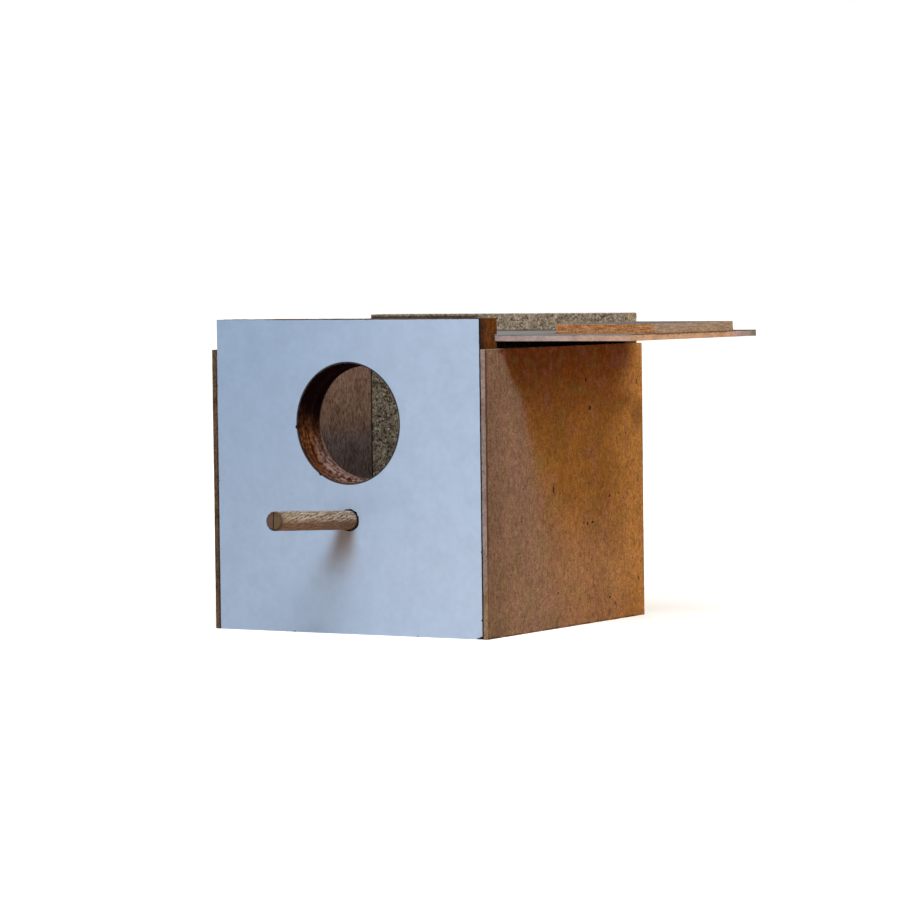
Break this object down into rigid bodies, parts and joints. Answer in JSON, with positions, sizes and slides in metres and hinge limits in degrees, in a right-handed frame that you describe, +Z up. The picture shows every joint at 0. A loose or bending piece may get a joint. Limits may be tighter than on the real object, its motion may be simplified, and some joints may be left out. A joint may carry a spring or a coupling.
{
  "type": "budgie nest box",
  "caption": "Cube-shaped wooden nest box for a small cage bird, with a round entrance, a perch below it and a thin lid that slides sideways in saw kerfs.",
  "frame": {"origin": "middle of the box's base, on the surface that it stands on, half way between the front and back faces", "axes": "+X to the right of the front, where the lid slides out; +Y from the front to the back, so the perch points to -Y; +Z up"},
  "size_m": [0.2236, 0.2156, 0.1504],
  "materials": {
    "white_facing": "satin white melamine facing with a cool blue tone",
    "mdf_board": "raw brown fibreboard",
    "hardboard": "raw brown hardboard, slightly mottled",
    "chipboard": "raw speckled chipboard",
    "lid_hardboard": "raw hardboard with sawn edges",
    "lid_facing": "pale grey-white painted facing",
    "grip_board": "raw orange-brown fibreboard",
    "beech_dowel": "raw fluted beech",
    "brad_steel": "dull steel"
  },
  "bodies": {
    "box": {"front_panel": "mdf_board", "front_facing": "white_facing", "back_panel": "chipboard", "left_side": "hardboard", "right_side": "hardboard", "floor": "mdf_board", "perch": "beech_dowel", "left_front_brad_1": "brad_steel", "left_front_brad_2": "brad_steel", "left_front_brad_3": "brad_steel", "left_back_brad_1": "brad_steel", "left_back_brad_2": "brad_steel", "left_back_brad_3": "brad_steel", "left_floor_brad_1": "brad_steel", "left_floor_brad_2": "brad_steel", "left_floor_brad_3": "brad_steel", "right_front_brad_1": "brad_steel", "right_front_brad_2": "brad_steel", "right_front_brad_3": "brad_steel", "right_back_brad_1": "brad_steel", "right_back_brad_2": "brad_steel", "right_back_brad_3": "brad_steel", "right_floor_brad_1": "brad_steel", "right_floor_brad_2": "brad_steel", "right_floor_brad_3": "brad_steel", "back_floor_brad_1": "brad_steel", "back_floor_brad_2": "brad_steel", "back_floor_brad_3": "brad_steel"},
    "lid": {"lid_sheet": "lid_hardboard", "lid_facing": "lid_facing", "grip_plate": "grip_board"}
  },
  "joints": [
    {"name": "lid_slide", "type": "slide", "parent": "box", "child": "lid", "axis": [1, 0, 0], "range_m": [-0.0693, 0.055]}
  ]
}
